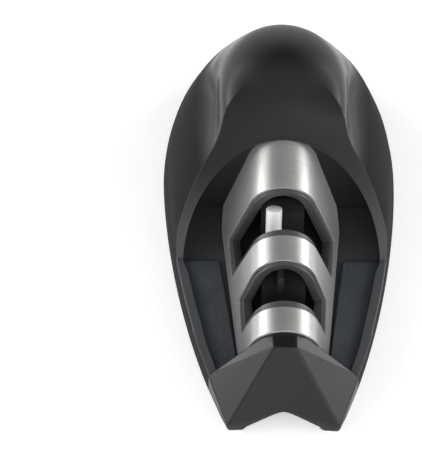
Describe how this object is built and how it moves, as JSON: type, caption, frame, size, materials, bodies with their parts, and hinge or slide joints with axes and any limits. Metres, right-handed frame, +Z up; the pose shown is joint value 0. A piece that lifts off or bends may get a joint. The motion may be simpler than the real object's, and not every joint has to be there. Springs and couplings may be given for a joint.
{
  "type": "knife sharpener",
  "caption": "Pull-through knife sharpener with a domed palm handle and a steel-clad column whose slots hold crossed ceramic rods and carbide plates.",
  "frame": {"origin": "middle of the footprint, on the surface that the rubber feet stand on", "axes": "+Y from the nose towards the palm handle, +X across the body, +Z up"},
  "size_m": [0.0748, 0.156, 0.06],
  "materials": {
    "body_black": "satin moulded ABS",
    "base_black": "matt moulded ABS",
    "deck_black": "fine spark-eroded grain",
    "holder_black": "matt moulded",
    "steel": "brushed lengthwise",
    "ceramic": "white, finely ground",
    "carbide": "ground grey",
    "zinc": "zinc-plated",
    "rubber": "matt"
  },
  "bodies": {
    "root": {"body_shell": "body_black", "base_plate": "base_black", "deck_panel_left": "deck_black", "deck_panel_right": "deck_black", "nose": "body_black", "core_frame": "body_black", "steel_cover": "steel", "ceramic_holder": "holder_black", "ceramic_rod_rear": "ceramic", "ceramic_rod_front": "ceramic", "carbide_holder": "holder_black", "carbide_plate_rear": "carbide", "carbide_plate_front": "carbide", "carbide_screws": "zinc", "core_screws": "zinc", "base_screws": "zinc", "foot_pads": "rubber"}
  },
  "joints": []
}
